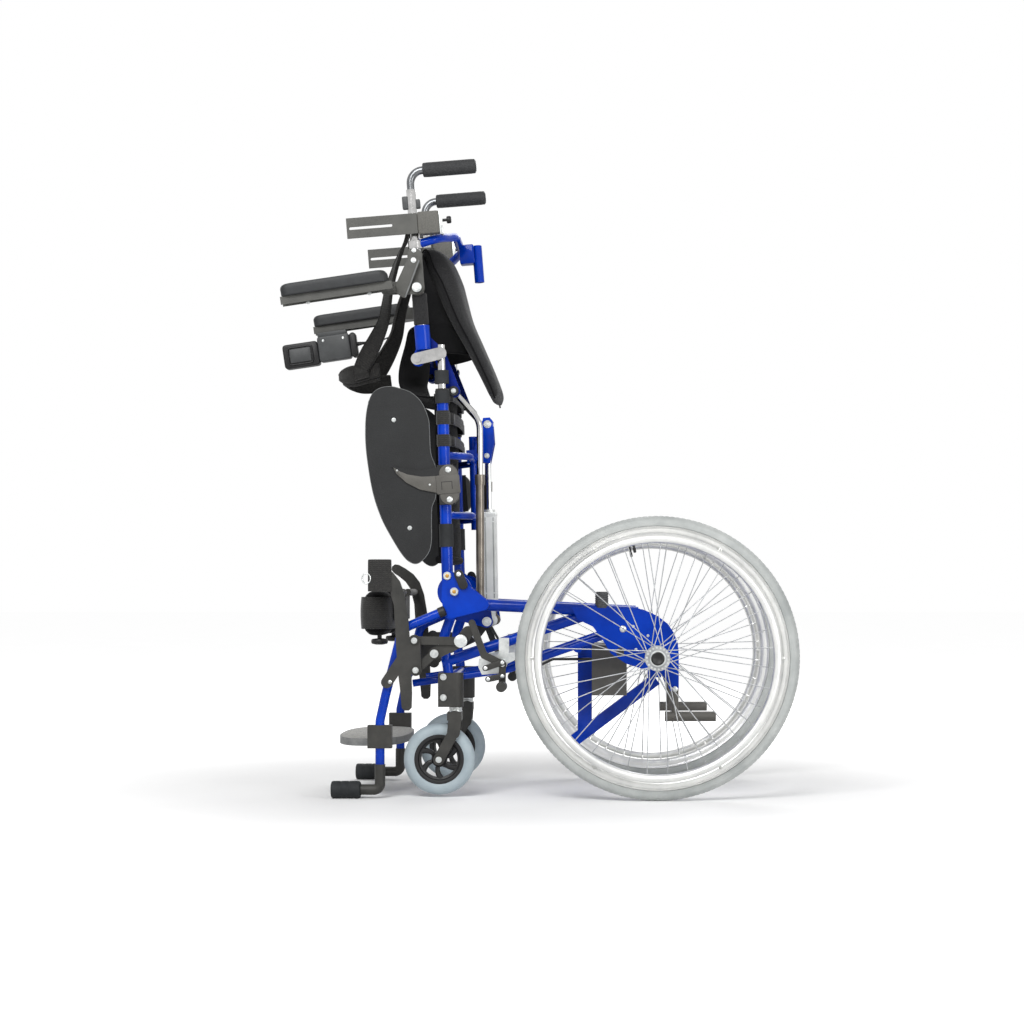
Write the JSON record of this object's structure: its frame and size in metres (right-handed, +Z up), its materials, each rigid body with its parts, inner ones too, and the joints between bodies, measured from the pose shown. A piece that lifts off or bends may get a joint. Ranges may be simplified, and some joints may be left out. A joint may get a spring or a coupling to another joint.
{
  "type": "standing wheelchair",
  "caption": "Manual wheelchair with a lift strut that stands the user up: tube frame, spoked rear wheels, casters, arm rests, knee pads and foot board.",
  "frame": {"origin": "on the floor under the middle of the bounding box", "axes": "+Z up, chair faces -X, +Y to its right-hand side"},
  "size_m": [1.188, 0.674, 1.3939],
  "materials": {
    "frame_paint": "deep blue gloss enamel",
    "bracket_paint": "dark blue gloss enamel",
    "black_paint": "satin black powder coat",
    "grey_paint": "dark grey powder coat",
    "black_plastic": "fine grained black plastic",
    "grey_plastic": "dark grey plastic",
    "rubber": "ribbed black rubber",
    "lead": "smooth black cable jacket",
    "pin_steel": "bright steel",
    "tube_chrome": "polished chrome",
    "wheel_alloy": "satin aluminium",
    "tyre": "grey tyre rubber",
    "cloth": "black woven fabric",
    "pad_skin": "black soft vinyl"
  },
  "bodies": {
    "chassis": {"side_frames": "frame_paint", "cross_frame": "frame_paint", "battery_box": "grey_plastic", "caster_housings": "black_paint", "seat_bumpers": "rubber", "tipping_levers": "black_paint", "pivot_pins": "pin_steel", "link_plates": "black_paint", "power_lead": "lead"},
    "seat": {"seat_tubes": "frame_paint", "seat_cross_frame": "frame_paint", "seat_slides": "tube_chrome", "seat_collars": "black_plastic", "seat_sling": "cloth", "side_guards": "black_plastic"},
    "back": {"back_sockets": "frame_paint", "back_posts": "tube_chrome", "back_crossbar": "frame_paint", "back_panel": "cloth", "rod_brackets": "bracket_paint", "handle_tubes": "pin_steel", "handle_grips": "rubber", "chest_brackets": "grey_paint", "arm_brackets": "grey_paint", "harness": "cloth"},
    "left_arm": {"left_arm_rail": "grey_paint", "left_arm_pad": "pad_skin"},
    "right_arm": {"right_arm_rail": "grey_paint", "right_arm_pad": "pad_skin", "control_box": "black_plastic", "control_lead": "lead"},
    "rocker": {"rocker": "grey_plastic"},
    "rods": {"back_rods": "black_paint", "rod_tips": "tube_chrome"},
    "lift_body": {"lift_body": "wheel_alloy"},
    "lift_rod": {"lift_rod": "pin_steel"},
    "upper_links": {"upper_links": "black_paint"},
    "lower_links": {"lower_links": "black_paint"},
    "leg_rest": {"leg_tubes": "frame_paint", "foot_stands": "black_paint", "foot_tips": "rubber", "knee_bars": "black_paint", "knee_pads": "cloth"},
    "foot_board": {"foot_board": "grey_plastic"},
    "left_wheel": {"left_tyre": "tyre", "left_rim": "wheel_alloy", "left_spokes": "wheel_alloy", "left_handrim": "wheel_alloy"},
    "left_fork": {"left_fork": "black_paint"},
    "left_caster": {"left_caster_tyre": "tyre", "left_caster_hub": "black_plastic"},
    "left_brake": {"left_brake": "black_paint"},
    "right_wheel": {"right_tyre": "tyre", "right_rim": "wheel_alloy", "right_spokes": "wheel_alloy", "right_handrim": "wheel_alloy"},
    "right_fork": {"right_fork": "black_paint"},
    "right_caster": {"right_caster_tyre": "tyre", "right_caster_hub": "black_plastic"},
    "right_brake": {"right_brake": "black_paint"}
  },
  "joints": [
    {"name": "stand_up", "type": "hinge", "parent": "chassis", "child": "seat", "pos_m": [-0.1506, 0, 0.4475], "axis": [0, 1, 0], "range_deg": [0, 91.64]},
    {"name": "back_hinge", "type": "hinge", "parent": "seat", "child": "back", "pos_m": [-0.23216, 0, 0.95366], "axis": [0, 1, 0], "range_deg": [-84.5, 0.5]},
    {"name": "rod_swing", "type": "hinge", "parent": "chassis", "child": "rods", "pos_m": [-0.082, 0, 0.382], "axis": [0, 1, 0], "range_deg": [-0.5, 92.5]},
    {"name": "lift_swing", "type": "hinge", "parent": "chassis", "child": "lift_body", "pos_m": [-0.082, 0, 0.382], "axis": [0, 1, 0], "range_deg": [-0.5, 93]},
    {"name": "lift_slide", "type": "slide", "parent": "lift_body", "child": "lift_rod", "axis": [-0.0165, 0, 0.9999], "range_m": [-0.1366, 0.001]},
    {"name": "upper_link", "type": "hinge", "parent": "chassis", "child": "upper_links", "pos_m": [-0.1348, 0, 0.3409], "axis": [0, 1, 0], "range_deg": [-0.5, 10.5]},
    {"name": "leg_swing", "type": "hinge", "parent": "upper_links", "child": "leg_rest", "pos_m": [-0.2347, 0, 0.3422], "axis": [0, 1, 0], "range_deg": [-0.5, 1.5]},
    {"name": "lower_link", "type": "hinge", "parent": "chassis", "child": "lower_links", "pos_m": [-0.1921, 0, 0.3136], "axis": [0, 1, 0], "range_deg": [-0.5, 23]},
    {"name": "board_flip", "type": "hinge", "parent": "leg_rest", "child": "foot_board", "pos_m": [-0.3106, 0, 0.12], "axis": [0, 1, 0], "range_deg": [0, 80]},
    {"name": "left_wheel_spin", "type": "hinge", "parent": "chassis", "child": "left_wheel", "pos_m": [0.289, -0.29, 0.305], "axis": [0, 1, 0], "continuous": true},
    {"name": "left_swivel", "type": "hinge", "parent": "chassis", "child": "left_fork", "pos_m": [-0.149, -0.206, 0.22], "axis": [0, 0, 1], "continuous": true},
    {"name": "left_caster_spin", "type": "hinge", "parent": "left_fork", "child": "left_caster", "pos_m": [-0.184, -0.206, 0.083], "axis": [0, 1, 0], "continuous": true},
    {"name": "left_brake_lever", "type": "hinge", "parent": "chassis", "child": "left_brake", "pos_m": [-0.044, -0.26, 0.291], "axis": [0, 1, 0], "range_deg": [-26, 0]},
    {"name": "right_wheel_spin", "type": "hinge", "parent": "chassis", "child": "right_wheel", "pos_m": [0.289, 0.29, 0.305], "axis": [0, 1, 0], "continuous": true},
    {"name": "right_swivel", "type": "hinge", "parent": "chassis", "child": "right_fork", "pos_m": [-0.149, 0.206, 0.22], "axis": [0, 0, 1], "continuous": true},
    {"name": "right_caster_spin", "type": "hinge", "parent": "right_fork", "child": "right_caster", "pos_m": [-0.184, 0.206, 0.083], "axis": [0, 1, 0], "continuous": true},
    {"name": "right_brake_lever", "type": "hinge", "parent": "chassis", "child": "right_brake", "pos_m": [-0.044, 0.26, 0.291], "axis": [0, 1, 0], "range_deg": [-26, 0]},
    {"name": "left_arm_lift", "type": "hinge", "parent": "back", "child": "left_arm", "pos_m": [-0.23223, -0.215, 1.10873], "axis": [0, 1, 0], "range_deg": [0, 90]},
    {"name": "right_arm_lift", "type": "hinge", "parent": "back", "child": "right_arm", "pos_m": [-0.23223, 0.215, 1.10873], "axis": [0, 1, 0], "range_deg": [0, 90]},
    {"name": "rocker_tilt", "type": "hinge", "parent": "right_arm", "child": "rocker", "pos_m": [-0.54874, 0.2365, 1.01054], "axis": [0.9893, 0, 0.1461], "range_deg": [-4, 4], "stiffness_Nm_per_rad": 0.1}
  ],
  "couplings": [
    {"joint": "back_hinge", "follows": "stand_up", "ratio": -0.91591},
    {"joint": "rod_swing", "follows": "stand_up", "ratio": 1.0026},
    {"joint": "lift_swing", "follows": "stand_up", "ratio": 1.0058},
    {"joint": "lift_slide", "follows": "stand_up", "m_per_rad": -0.08503},
    {"joint": "upper_link", "follows": "stand_up", "ratio": 0.10912},
    {"joint": "leg_swing", "follows": "stand_up", "ratio": 0.011175},
    {"joint": "lower_link", "follows": "stand_up", "ratio": 0.24636}
  ]
}
